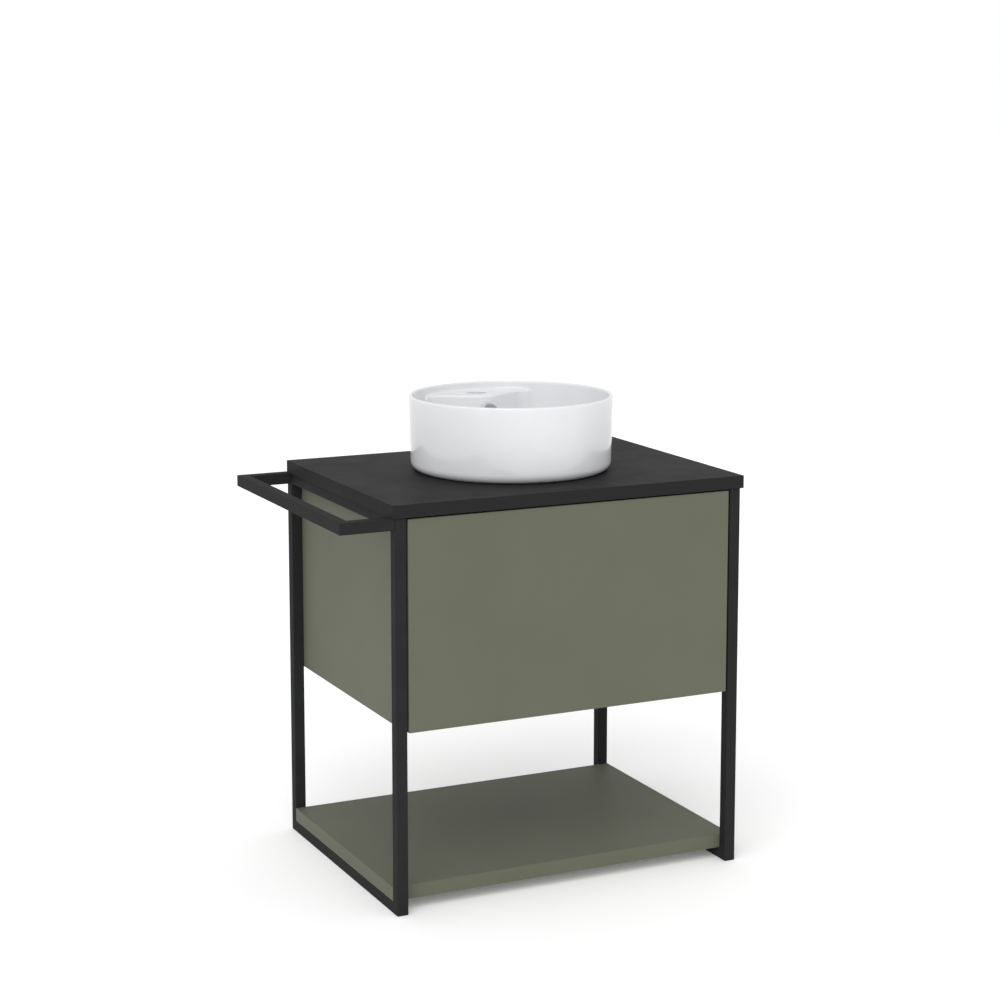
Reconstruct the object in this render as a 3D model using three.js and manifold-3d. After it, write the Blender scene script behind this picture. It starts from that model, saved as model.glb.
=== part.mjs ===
// Vessel sink on a free-standing bathroom vanity, in millimetres, +Z up.
// The front faces -Y and the towel rail is on the -X side. Everything is laid out from the frame's
// front left bottom corner, and the finished group is then moved so that the origin lies at the middle
// of the base.
import * as THREE from "three";
import { mergeVertices } from "three/addons/utils/BufferGeometryUtils.js";
import Module from "manifold-3d";

const wasm = await Module();
wasm.setup();

// ---------------------------------------------------------------- driving dimensions
const FRAME_WIDTH = 650;
const FRAME_DEPTH = 500;
const FRAME_HEIGHT = 672;
const TUBE = 20; // outside size of the square steel tube
const TUBE_WALL = 1.5;
const TOWEL_REACH = 96; // from the frame to the outside of the towel bar

const WORKTOP_THICK = 22;
const WORKTOP_SIDE_OVERHANG = 5;
const WORKTOP_FRONT_OVERHANG = 3;
const WORKTOP_BACK_SETBACK = 11;

const SHELF_THICK = 25;
const CABINET_BOTTOM = 311;
const BOARD = 18; // cabinet boards
const BOTTOM_BOARD = 16;
const REVEAL = 3; // shadow gap round the drawer front
const FRONT_THICK = 19;
const PRESS_GAP = 2; // between the drawer front and the cabinet, so that it can be pressed

const RUNNER_GAP = 13;
const RUNNER_LENGTH = 400;
const RUNNER_HEIGHT = 45;
const RUNNER_LEVEL = 430;
const RUNNER_STEEL = 1.5;
const RUNNER_SETBACK = 4; // from the cabinet's front edge
const DRAWER_DEPTH = 430;
const DRAWER_WALL = 15;
const DRAWER_BASE = 12;
const DRAWER_BOX_BOTTOM = 341;
const DRAWER_BOX_TOP = 565;
const TRAP_BAY_HALF = 70; // half the clear width of the drawer's cut-out
const TRAP_BAY_WALL = 12;
const TRAP_BAY_FRONT = 165;

const BASIN_RADIUS = 180;
const BASIN_HEIGHT = 132;
const BASIN_TAPER = 3;
const BASIN_RIM = 7;
const BASIN_EDGE = 16; // radius round the bottom edge
const BOWL_FLOOR = 47;
const BOWL_FILLET = 8;
const BOWL_THICK = 10;
const FOOT_INNER = 152;
const DECK_LEVEL = 117; // the tap deck lies 15 mm below the rim
const DECK_ANGLE = THREE.MathUtils.degToRad(28.5);
const DECK_APEX = 90.3; // where the deck's two straight edges would meet
const DECK_NOSE = 36;
const DECK_FILLET = 42;
const TAP_HOLE_Y = 143.5;
const TAP_HOLE_RADIUS = 17.5;
const OVERFLOW_LEVEL = 86;
const OVERFLOW_RADIUS = 12;
const WASTE_HOLE_RADIUS = 23;
const RECESS_RADIUS = 36.5; // shallow well in the bowl's floor, round the waste
const RECESS_DEPTH = 5;
const WASTE_PIPE_RADIUS = 16;
const PIPE_WALL = 1.5;
const RUNNING_GAP = 0.3;

const WORKTOP_TOP = FRAME_HEIGHT + WORKTOP_THICK;
const WORKTOP_BACK = FRAME_DEPTH - WORKTOP_BACK_SETBACK;
const BASIN_X = FRAME_WIDTH / 2;
const BASIN_Y = (WORKTOP_BACK - WORKTOP_FRONT_OVERHANG) / 2;
const TRAP_OUTLET_LEVEL = 585;

// ---------------------------------------------------------------- materials
const finish = (color, roughness, metalness) =>
  new THREE.MeshStandardMaterial({ color, roughness, metalness });
const blackSteel = () => finish(0x26272a, 0.45, 0.3);
const blackTop = () => finish(0x2b2c2e, 0.5, 0);
const greenBoard = () => finish(0x6b6d60, 0.55, 0);
const greyBoard = () => finish(0xb9b8b2, 0.6, 0);
const zinc = () => finish(0xb4b6b8, 0.35, 1);
const ceramic = () => finish(0xf4f4f3, 0.08, 0);
const chrome = () => finish(0xd8dadc, 0.08, 1);
const rubber = () => finish(0x222222, 0.8, 0);
const greyPlastic = () => finish(0x8a8c8e, 0.5, 0);

// ---------------------------------------------------------------- shape helpers
// Welds a geometry's shared corners and drops the slivers that a lathe leaves on its axis.
function welded(geometry) {
  const bare = new THREE.BufferGeometry();
  bare.setAttribute("position", geometry.attributes.position.clone());
  if (geometry.index) bare.setIndex(geometry.index);
  const merged = mergeVertices(bare, 1e-4);
  const index = merged.index.array;
  const kept = [];
  for (let i = 0; i < index.length; i += 3) {
    const [a, b, c] = [index[i], index[i + 1], index[i + 2]];
    if (a !== b && b !== c && c !== a) kept.push(a, b, c);
  }
  merged.setIndex(kept);
  return merged;
}

function toManifold(geometry) {
  const clean = welded(geometry);
  return new wasm.Manifold(
    new wasm.Mesh({
      numProp: 3,
      vertProperties: new Float32Array(clean.attributes.position.array),
      triVerts: new Uint32Array(clean.index.array),
    }),
  );
}

function toGeometry(manifold) {
  const mesh = manifold.getMesh();
  const geometry = new THREE.BufferGeometry();
  geometry.setAttribute("position", new THREE.BufferAttribute(mesh.vertProperties, 3));
  geometry.setIndex(new THREE.BufferAttribute(mesh.triVerts, 1));
  geometry.computeVertexNormals();
  return geometry;
}

// First geometry, with the others cut away from it.
function cut(geometry, ...tools) {
  return toGeometry(tools.reduce((left, tool) => left.subtract(toManifold(tool)), toManifold(geometry)));
}

function join(geometry, ...others) {
  return toGeometry(others.reduce((left, other) => left.add(toManifold(other)), toManifold(geometry)));
}

function block(low, high) {
  const size = high.map((value, i) => value - low[i]);
  const geometry = new THREE.BoxGeometry(...size);
  return geometry.translate(...low.map((value, i) => value + size[i] / 2));
}

// Turned shape from a closed run of [radius, height] points, outside going up; axis is x, y or z.
function turned(points, axis = "z", segments = 24) {
  const profile = points.map(([radius, height]) => new THREE.Vector2(radius, height));
  const first = profile[0];
  const last = profile[profile.length - 1];
  if (first.x > 0 && !first.equals(last)) profile.push(first.clone());
  const geometry = welded(new THREE.LatheGeometry(profile, segments));
  if (axis === "x") geometry.rotateZ(-Math.PI / 2);
  if (axis === "z") geometry.rotateX(Math.PI / 2);
  return geometry;
}

function rod(radius, from, to, axis = "z", segments = 24) {
  return turned([[0, from], [radius, from], [radius, to], [0, to]], axis, segments);
}

function ring(inner, outer, from, to, axis = "z", segments = 24) {
  return turned([[inner, from], [outer, from], [outer, to], [inner, to]], axis, segments);
}

// Points round part of a circle, angles in degrees.
function arc(centre_x, centre_y, radius, start, end, steps) {
  return Array.from({ length: steps + 1 }, (_, i) => {
    const angle = THREE.MathUtils.degToRad(start + ((end - start) * i) / steps);
    return [centre_x + radius * Math.cos(angle), centre_y + radius * Math.sin(angle)];
  });
}

function outline(points) {
  return new THREE.Shape(points.map(([x, y]) => new THREE.Vector2(x, y)));
}

function extruded(points, from, to) {
  const geometry = new THREE.ExtrudeGeometry(outline(points), { depth: to - from, bevelEnabled: false });
  return geometry.translate(0, 0, from);
}

// Outline in X and Z, pushed along Y.
function extrudedAlongY(points, from, to) {
  const geometry = new THREE.ExtrudeGeometry(outline(points), { depth: to - from, bevelEnabled: false });
  return geometry.rotateX(Math.PI / 2).translate(0, to, 0);
}

// Square tube between two points of its centre line. Its ends are cut square, or mitred towards
// the side that inward points to.
function squareTube(from, to, inward, mitre_start, mitre_end) {
  const square = (half) => [[-half, -half], [half, -half], [half, half], [-half, half]];
  const section = outline(square(TUBE / 2));
  section.holes.push(outline(square(TUBE / 2 - TUBE_WALL)));
  const start = new THREE.Vector3(...from);
  const along = new THREE.Vector3(...to).sub(start);
  const length = along.length();
  along.normalize();
  const geometry = new THREE.ExtrudeGeometry(section, { depth: length, bevelEnabled: false });
  const position = geometry.attributes.position;
  for (let i = 0; i < position.count; i += 1) {
    const depth = position.getX(i);
    const at_start = position.getZ(i) < length / 2;
    position.setZ(i, at_start ? mitre_start * depth : length - mitre_end * depth);
  }
  const side = new THREE.Vector3(...inward);
  const basis = new THREE.Matrix4().makeBasis(side, along.clone().cross(side), along);
  return geometry.applyMatrix4(basis.setPosition(start));
}

// ---------------------------------------------------------------- the parts
const vanity = new THREE.Group();

function add(parent, name, geometry, material) {
  const mesh = new THREE.Mesh(geometry, material);
  mesh.name = name;
  parent.add(mesh);
  return mesh;
}

function sideFrame(side, x, inner_x) {
  const near = TUBE / 2;
  const far = FRAME_DEPTH - TUBE / 2;
  const low = TUBE / 2;
  const high = FRAME_HEIGHT - TUBE / 2;
  const tubes = {
    front_post: squareTube([x, near, low], [x, near, high], [0, 1, 0], 1, 1),
    back_post: squareTube([x, far, low], [x, far, high], [0, -1, 0], 1, 1),
    bottom_rail: squareTube([x, near, low], [x, far, low], [0, 0, 1], 1, 1),
    top_rail: squareTube([x, near, high], [x, far, high], [0, 0, -1], 1, 1),
  };
  const bolt_holes = BOLT_Y.map((y) => {
    const hole = rod(BOLT_RADIUS + RUNNING_GAP, inner_x - TUBE / 4, inner_x + TUBE / 4, "x", 12);
    return hole.translate(0, y, BOLT_LEVEL);
  });
  tubes.top_rail = cut(tubes.top_rail, ...bolt_holes);
  for (const [name, geometry] of Object.entries(tubes)) {
    add(vanity, `${side}_${name}`, geometry, blackSteel());
  }
}

function towelRail() {
  const x = TUBE / 2 - TOWEL_REACH;
  const z = FRAME_HEIGHT - TUBE / 2;
  const near = TUBE / 2;
  const far = FRAME_DEPTH - TUBE / 2;
  add(vanity, "towel_bar", squareTube([x, near, z], [x, far, z], [1, 0, 0], 1, 1), blackSteel());
  add(vanity, "towel_arm_front", squareTube([x, near, z], [0, near, z], [0, 1, 0], 1, 0), blackSteel());
  add(vanity, "towel_arm_back", squareTube([x, far, z], [0, far, z], [0, -1, 0], 1, 0), blackSteel());
}

// Bolts from inside the cabinet, through its side panels into the top rails.
const BOLT_RADIUS = 3;
const BOLT_HEAD_RADIUS = 6.5;
const BOLT_HEAD = 4;
const BOLT_LEVEL = FRAME_HEIGHT - TUBE / 2;
const BOLT_Y = [130, 370];
const BOLT_LENGTH = BOARD + 6;
const HEX_SOCKET_RADIUS = 2.3;

function frameBolts(side, panel_face, outward) {
  BOLT_Y.forEach((y, i) => {
    const head = turned(
      [
        [0, -BOLT_LENGTH],
        [BOLT_RADIUS, -BOLT_LENGTH],
        [BOLT_RADIUS, 0],
        [BOLT_HEAD_RADIUS, 0],
        [BOLT_HEAD_RADIUS, BOLT_HEAD * 0.6],
        [BOLT_HEAD_RADIUS * 0.7, BOLT_HEAD],
        [0, BOLT_HEAD],
      ],
      "x",
      18,
    );
    const socket = rod(HEX_SOCKET_RADIUS, BOLT_HEAD * 0.4, BOLT_HEAD + 1, "x", 6);
    const bolt = cut(head, socket);
    if (outward > 0) bolt.rotateZ(Math.PI);
    bolt.translate(panel_face, y, BOLT_LEVEL);
    add(vanity, `${side}_frame_bolt_${i === 0 ? "front" : "back"}`, bolt, zinc());
  });
}

const CABINET_LEFT = TUBE;
const CABINET_RIGHT = FRAME_WIDTH - TUBE;
const CABINET_FRONT = FRONT_THICK + PRESS_GAP;
const CABINET_BACK = FRAME_DEPTH - 2;
const INNER_LEFT = CABINET_LEFT + BOARD;
const INNER_RIGHT = CABINET_RIGHT - BOARD;
const STRETCHER_WIDTH = 70;
const BACK_RAIL_HEIGHT = 100;
const BACK_RAIL_FRONT = CABINET_BACK - BOTTOM_BOARD;
const SCREW_RADIUS = 2;
const SCREW_HEAD_RADIUS = 4.5;
const SCREW_HEAD = 3;
const SCREW_BITE = 14; // how far a screw goes into the worktop
const SCREW_INSET = 90;
const SCREW_X = { left: SCREW_INSET, right: FRAME_WIDTH - SCREW_INSET };
const STRETCHER_SETBACK = 9; // of the back stretcher, from the worktop's back edge
const STRETCHER_FRONTS = {
  front: CABINET_FRONT,
  back: WORKTOP_BACK - STRETCHER_WIDTH - STRETCHER_SETBACK,
};

function cabinet() {
  const panels = [
    ["left", CABINET_LEFT, INNER_LEFT],
    ["right", INNER_RIGHT, CABINET_RIGHT],
  ];
  for (const [side, low_x, high_x] of panels) {
    const panel = block([low_x, CABINET_FRONT, CABINET_BOTTOM], [high_x, CABINET_BACK, FRAME_HEIGHT]);
    const holes = BOLT_Y.map((y) =>
      rod(BOLT_RADIUS + RUNNING_GAP, low_x - 1, high_x + 1, "x", 12).translate(0, y, BOLT_LEVEL),
    );
    add(vanity, `cabinet_side_${side}`, cut(panel, ...holes), greenBoard());
  }
  const floor_top = CABINET_BOTTOM + BOTTOM_BOARD;
  const bottom = block(
    [INNER_LEFT, CABINET_FRONT, CABINET_BOTTOM],
    [INNER_RIGHT, CABINET_BACK, floor_top],
  );
  add(vanity, "cabinet_bottom", bottom, greenBoard());
  const back_rail = block(
    [INNER_LEFT, BACK_RAIL_FRONT, floor_top],
    [INNER_RIGHT, CABINET_BACK, floor_top + BACK_RAIL_HEIGHT],
  );
  add(vanity, "cabinet_back_rail", back_rail, greenBoard());
  const stretcher_bottom = FRAME_HEIGHT - BOARD;
  for (const [place, front] of Object.entries(STRETCHER_FRONTS)) {
    const board = block(
      [INNER_LEFT, front, stretcher_bottom],
      [INNER_RIGHT, front + STRETCHER_WIDTH, FRAME_HEIGHT],
    );
    const middle = front + STRETCHER_WIDTH / 2;
    const holes = Object.values(SCREW_X).map((x) => {
      const hole = rod(SCREW_RADIUS + RUNNING_GAP, stretcher_bottom - 1, FRAME_HEIGHT + 1, "z", 12);
      return hole.translate(x, middle, 0);
    });
    add(vanity, `worktop_stretcher_${place}`, cut(board, ...holes), greenBoard());
    for (const [side, x] of Object.entries(SCREW_X)) {
      const screw = turned(
        [
          [0, stretcher_bottom - SCREW_HEAD],
          [SCREW_HEAD_RADIUS * 0.7, stretcher_bottom - SCREW_HEAD],
          [SCREW_HEAD_RADIUS, stretcher_bottom],
          [SCREW_RADIUS, stretcher_bottom],
          [SCREW_RADIUS, FRAME_HEIGHT + SCREW_BITE - 3],
          [0, FRAME_HEIGHT + SCREW_BITE],
        ],
        "z",
        12,
      );
      add(vanity, `worktop_screw_${place}_${side}`, screw.translate(x, middle, 0), zinc());
    }
  }
}

const WASTE_CUT_OUT = 25;
const HOSE_HOLE_RADIUS = 22;
const HOSE_HOLE_Y = 128; // behind the basin's middle

function worktop() {
  const slab = block(
    [-WORKTOP_SIDE_OVERHANG, -WORKTOP_FRONT_OVERHANG, FRAME_HEIGHT],
    [FRAME_WIDTH + WORKTOP_SIDE_OVERHANG, WORKTOP_BACK, WORKTOP_TOP],
  );
  const below = FRAME_HEIGHT - 1;
  const above = WORKTOP_TOP + 1;
  const holes = [
    rod(WASTE_CUT_OUT, below, above, "z", 32).translate(BASIN_X, BASIN_Y, 0),
    rod(HOSE_HOLE_RADIUS, below, above, "z", 32).translate(BASIN_X, BASIN_Y + HOSE_HOLE_Y, 0),
  ];
  for (const front of Object.values(STRETCHER_FRONTS)) {
    for (const x of Object.values(SCREW_X)) {
      const top = FRAME_HEIGHT + SCREW_BITE + 1;
      const pilot = rod(SCREW_RADIUS + RUNNING_GAP, below, top, "z", 12);
      holes.push(pilot.translate(x, front + STRETCHER_WIDTH / 2, 0));
    }
  }
  add(vanity, "worktop", cut(slab, ...holes), blackTop());
}

function shelf() {
  const board = block([0, TUBE, TUBE], [FRAME_WIDTH, FRAME_DEPTH - TUBE, TUBE + SHELF_THICK]);
  add(vanity, "shelf", board, greenBoard());
}

const DRAWER_LEFT = INNER_LEFT + RUNNER_GAP;
const DRAWER_RIGHT = INNER_RIGHT - RUNNER_GAP;
const DRAWER_BACK = FRONT_THICK + DRAWER_DEPTH;
const BAY_LEFT = BASIN_X - TRAP_BAY_HALF;
const BAY_RIGHT = BASIN_X + TRAP_BAY_HALF;

function drawer() {
  const base_top = DRAWER_BOX_BOTTOM + DRAWER_BASE;
  const top = DRAWER_BOX_TOP;
  const front = block(
    [CABINET_LEFT + REVEAL, 0, CABINET_BOTTOM],
    [CABINET_RIGHT - REVEAL, FRONT_THICK, FRAME_HEIGHT - REVEAL],
  );
  add(vanity, "drawer_front", front, greenBoard());
  const walls = {
    drawer_side_left: [[DRAWER_LEFT, FRONT_THICK], [DRAWER_LEFT + DRAWER_WALL, DRAWER_BACK]],
    drawer_side_right: [[DRAWER_RIGHT - DRAWER_WALL, FRONT_THICK], [DRAWER_RIGHT, DRAWER_BACK]],
    drawer_back_left: [
      [DRAWER_LEFT + DRAWER_WALL, DRAWER_BACK - DRAWER_WALL],
      [BAY_LEFT - TRAP_BAY_WALL, DRAWER_BACK],
    ],
    drawer_back_right: [
      [BAY_RIGHT + TRAP_BAY_WALL, DRAWER_BACK - DRAWER_WALL],
      [DRAWER_RIGHT - DRAWER_WALL, DRAWER_BACK],
    ],
    trap_bay_left: [[BAY_LEFT - TRAP_BAY_WALL, TRAP_BAY_FRONT - TRAP_BAY_WALL], [BAY_LEFT, DRAWER_BACK]],
    trap_bay_right: [[BAY_RIGHT, TRAP_BAY_FRONT - TRAP_BAY_WALL], [BAY_RIGHT + TRAP_BAY_WALL, DRAWER_BACK]],
    trap_bay_front: [[BAY_LEFT, TRAP_BAY_FRONT - TRAP_BAY_WALL], [BAY_RIGHT, TRAP_BAY_FRONT]],
  };
  for (const [name, [low, high]] of Object.entries(walls)) {
    add(vanity, name, block([...low, base_top], [...high, top]), greyBoard());
  }
  const base = [
    [DRAWER_LEFT, FRONT_THICK],
    [DRAWER_RIGHT, FRONT_THICK],
    [DRAWER_RIGHT, DRAWER_BACK],
    [BAY_RIGHT, DRAWER_BACK],
    [BAY_RIGHT, TRAP_BAY_FRONT],
    [BAY_LEFT, TRAP_BAY_FRONT],
    [BAY_LEFT, DRAWER_BACK],
    [DRAWER_LEFT, DRAWER_BACK],
  ];
  add(vanity, "drawer_bottom", extruded(base, DRAWER_BOX_BOTTOM, base_top), greyBoard());
}

// Folded members of a runner. Each has a web and two flanges; web and reach are the distances of
// the web and of the flanges' free edges from the cabinet's side.
const RUNNER_MEMBERS = {
  outer: { web: 0, reach: 9, inset: 0 },
  middle: { web: 2, reach: 11, inset: 2.5 },
  inner: { web: RUNNER_GAP, reach: 4, inset: 8 },
};

function runnerMember(wall_x, toward, { web, reach, inset }) {
  const low = RUNNER_LEVEL + inset;
  const high = RUNNER_LEVEL + RUNNER_HEIGHT - inset;
  const t = RUNNER_STEEL;
  const points = [
    [web, low],
    [reach, low],
    [reach, low + t],
    [web + Math.sign(reach - web) * t, low + t],
    [web + Math.sign(reach - web) * t, high - t],
    [reach, high - t],
    [reach, high],
    [web, high],
  ].map(([x, z]) => [wall_x + toward * x, z]);
  const clockwise = THREE.ShapeUtils.area(outline(points).getPoints()) < 0;
  const ordered = clockwise ? points.reverse() : points;
  const start = CABINET_FRONT + RUNNER_SETBACK;
  return extrudedAlongY(ordered, start, start + RUNNER_LENGTH);
}

function runners() {
  const sides = [["left", INNER_LEFT, 1], ["right", INNER_RIGHT, -1]];
  for (const [side, wall_x, toward] of sides) {
    for (const [member, shape] of Object.entries(RUNNER_MEMBERS)) {
      add(vanity, `runner_${member}_${side}`, runnerMember(wall_x, toward, shape), zinc());
    }
  }
}

const LATCH_X = 150;
const LATCH_LEVEL = 390;
const LATCH_HALF = 10;
const LATCH_LENGTH = 20;
const PLUNGER_RADIUS = 4;
const PLUNGER_TRAVEL = 4;

function pushLatch() {
  const back = BACK_RAIL_FRONT;
  const body = block(
    [LATCH_X - LATCH_HALF, back - LATCH_LENGTH, LATCH_LEVEL - LATCH_HALF],
    [LATCH_X + LATCH_HALF, back, LATCH_LEVEL + LATCH_HALF],
  );
  const bore = rod(PLUNGER_RADIUS + RUNNING_GAP, back - LATCH_LENGTH - 1, back + 1, "y", 16);
  add(vanity, "push_latch_housing", cut(body, bore.translate(LATCH_X, 0, LATCH_LEVEL)), greyPlastic());
  const tip = DRAWER_BACK + RUNNING_GAP;
  const end = back - PLUNGER_TRAVEL - RUNNING_GAP;
  const plunger = turned(
    [
      [0, tip],
      [PLUNGER_RADIUS - 1, tip],
      [PLUNGER_RADIUS, tip + 1],
      [PLUNGER_RADIUS, end],
      [0, end],
    ],
    "y",
    16,
  );
  add(vanity, "push_latch_plunger", plunger.translate(LATCH_X, 0, LATCH_LEVEL), greyPlastic());
}

// ---------------------------------------------------------------- basin, about its own middle
// The tap deck seen from above: a blunt wedge that points at the middle of the bowl. Its straight
// edges run into the bowl wall in wide hollow fillets.
function deckOutline(apex, nose, fillet, wall, outer, steps) {
  const slope = THREE.MathUtils.radToDeg(DECK_ANGLE);
  const nose_centre = apex + nose / Math.cos(DECK_ANGLE);
  const nose_arc = arc(0, nose_centre, nose, -90, -90 + slope, steps);
  let edge_end;
  if (fillet > 0) {
    // centre of the fillet: its distance from the straight edge is fillet, and from the wall too
    const base_x = fillet * Math.sin(DECK_ANGLE);
    const base_y = apex - fillet * Math.cos(DECK_ANGLE);
    const half_b = base_x * Math.cos(DECK_ANGLE) + base_y * Math.sin(DECK_ANGLE);
    const c = base_x ** 2 + base_y ** 2 - (wall - fillet) ** 2;
    const run = -half_b + Math.sqrt(half_b ** 2 - c);
    const centre_x = base_x + run * Math.cos(DECK_ANGLE);
    const centre_y = base_y + run * Math.sin(DECK_ANGLE);
    const wall_angle = THREE.MathUtils.radToDeg(Math.atan2(centre_y, centre_x));
    edge_end = arc(centre_x, centre_y, fillet, 90 + slope, wall_angle, steps);
  } else {
    const half_b = apex * Math.sin(DECK_ANGLE);
    const run = -half_b + Math.sqrt(half_b ** 2 - apex ** 2 + wall ** 2);
    edge_end = [[run * Math.cos(DECK_ANGLE), apex + run * Math.sin(DECK_ANGLE)]];
  }
  const last = edge_end[edge_end.length - 1];
  const start = THREE.MathUtils.radToDeg(Math.atan2(last[1], last[0]));
  const behind = arc(0, 0, outer, start, 90, steps + 2).slice(outer > wall ? 0 : 1);
  const right = [...nose_arc, ...edge_end, ...behind];
  const left = right.slice(1, -1).reverse().map(([x, y]) => [-x, y]);
  return [...right, ...left];
}

const BOSS_LEVEL = 26; // underside of the thick part round the waste hole
const BOSS_RADIUS = 34;
const DUCT_HALF = 12;
const DUCT_WALL = 6;
const DUCT_FRONT = 106;
const DUCT_BACK = 116;
const DUCT_LOW = 31;
const DUCT_HIGH = 37;
const HOLLOW_WALL = 11; // ceramic left between the deck's surface and the hollow under it
const HOLLOW_RADIUS = 166;
const HOLLOW_LOW = 16;
const DECK_OVERLAP = 3; // how far the deck runs into the basin's wall

function basinShell() {
  const bottom_radius = BASIN_RADIUS - BASIN_TAPER;
  const rim_half = BASIN_RIM / 2;
  const rim_centre = BASIN_RADIUS - rim_half;
  const rim_level = BASIN_HEIGHT - rim_half;
  const bowl_radius = BASIN_RADIUS - BASIN_RIM;
  const profile = [
    [0, BOWL_FLOOR - BOWL_THICK],
    [FOOT_INNER, BOWL_FLOOR - BOWL_THICK],
    [FOOT_INNER, 0],
    ...arc(bottom_radius - BASIN_EDGE, BASIN_EDGE, BASIN_EDGE, -90, 0, 5),
    ...arc(rim_centre, rim_level, rim_half, 0, 180, 6),
    ...arc(bowl_radius - BOWL_FILLET, BOWL_FLOOR + BOWL_FILLET, BOWL_FILLET, 0, -90, 4),
    [0, BOWL_FLOOR],
  ];
  return turned(profile, "z", 64);
}

function basin() {
  const deck_edge = BASIN_RADIUS - BASIN_RIM;
  const deck = extruded(
    deckOutline(DECK_APEX, DECK_NOSE, DECK_FILLET, deck_edge, deck_edge + DECK_OVERLAP, 5),
    BOWL_FLOOR - BOWL_THICK / 2,
    DECK_LEVEL,
  );
  const boss = rod(BOSS_RADIUS, BOSS_LEVEL, BOWL_FLOOR - 1, "z", 32);
  const under_rib = block(
    [-DUCT_HALF - DUCT_WALL, 0, BOSS_LEVEL],
    [DUCT_HALF + DUCT_WALL, DUCT_BACK + DUCT_WALL, BOWL_FLOOR - 1],
  );
  const shift = HOLLOW_WALL / Math.cos(DECK_ANGLE);
  const hollow = extruded(
    deckOutline(DECK_APEX + shift, DECK_NOSE - HOLLOW_WALL, 0, HOLLOW_RADIUS - 2, HOLLOW_RADIUS, 4),
    HOLLOW_LOW,
    DECK_LEVEL - HOLLOW_WALL,
  );
  const up_rib = block(
    [-DUCT_HALF - DUCT_WALL, DECK_APEX + HOLLOW_WALL, BOSS_LEVEL],
    [DUCT_HALF + DUCT_WALL, DUCT_BACK + DUCT_WALL, DECK_LEVEL - HOLLOW_WALL / 2],
  );
  const flat_duct = block([-DUCT_HALF, 0, DUCT_LOW], [DUCT_HALF, DUCT_BACK, DUCT_HIGH]);
  const up_duct = block(
    [-DUCT_HALF, DUCT_FRONT, DUCT_LOW],
    [DUCT_HALF, DUCT_BACK, OVERFLOW_LEVEL + OVERFLOW_RADIUS],
  );
  const mouth = rod(OVERFLOW_RADIUS, DECK_APEX, DUCT_FRONT + 2, "y", 24);
  mouth.translate(0, 0, OVERFLOW_LEVEL);
  const tap_hole = rod(TAP_HOLE_RADIUS, DECK_LEVEL / 2, BASIN_HEIGHT, "z", 32);
  tap_hole.translate(0, TAP_HOLE_Y, 0);
  const waste_hole = rod(WASTE_HOLE_RADIUS, 0, BOWL_FLOOR, "z", 32);
  const recess = rod(RECESS_RADIUS, FLANGE_SEAT, BOWL_FLOOR + 1, "z", 48);
  const shell = toManifold(basinShell())
    .add(toManifold(deck))
    .subtract(toManifold(hollow))
    .add(toManifold(boss))
    .add(toManifold(under_rib))
    .add(toManifold(up_rib));
  return [flat_duct, up_duct, mouth, tap_hole, recess, waste_hole].reduce(
    (left, tool) => left.subtract(toManifold(tool)),
    shell,
  );
}

const OVERFLOW_CAP_RADIUS = 17.5;
const OVERFLOW_CAP_THICK = 6;
const OVERFLOW_CAP_FRONT = 87.5;

function overflowCap() {
  const back = OVERFLOW_CAP_FRONT + OVERFLOW_CAP_THICK;
  const disc = turned(
    [
      [0, OVERFLOW_CAP_FRONT],
      [OVERFLOW_CAP_RADIUS - 1.2, OVERFLOW_CAP_FRONT],
      [OVERFLOW_CAP_RADIUS, OVERFLOW_CAP_FRONT + 1.2],
      [OVERFLOW_CAP_RADIUS, back],
      [0, back],
    ],
    "y",
    32,
  );
  const reach = OVERFLOW_RADIUS - RUNNING_GAP - 0.2;
  const leg = 1.5;
  const legs = [
    block([-reach, back - 1, -leg], [reach, DUCT_FRONT - 1, leg]),
    block([-leg, back - 1, -reach], [leg, DUCT_FRONT - 1, reach]),
  ];
  return join(disc, ...legs).translate(0, 0, OVERFLOW_LEVEL);
}

const FLANGE_RADIUS = 31;
const FLANGE_SEAT = BOWL_FLOOR - RECESS_DEPTH;
const FLANGE_TOP = FLANGE_SEAT + 2.5;
const WASTE_BODY_RADIUS = WASTE_HOLE_RADIUS - 1;
const WASTE_BORE = WASTE_BODY_RADIUS - 3;
const WASTE_END = -20;
const SEAL_TOP = BOSS_LEVEL;
const NUT_TOP = 22;
const NUT_BOTTOM = 10;
const TAIL_TOP = -10;
const TAIL_END = -166;
const STEM_RADIUS = 5;
const CAP_BOTTOM = FLANGE_TOP + 1.2;
const CAP_TOP = CAP_BOTTOM + 3.5;
const CAP_RADIUS = 35;
const BRIDGE_LOW = 17;
const BRIDGE_HIGH = 23;
const BRIDGE_HALF = 4;

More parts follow.
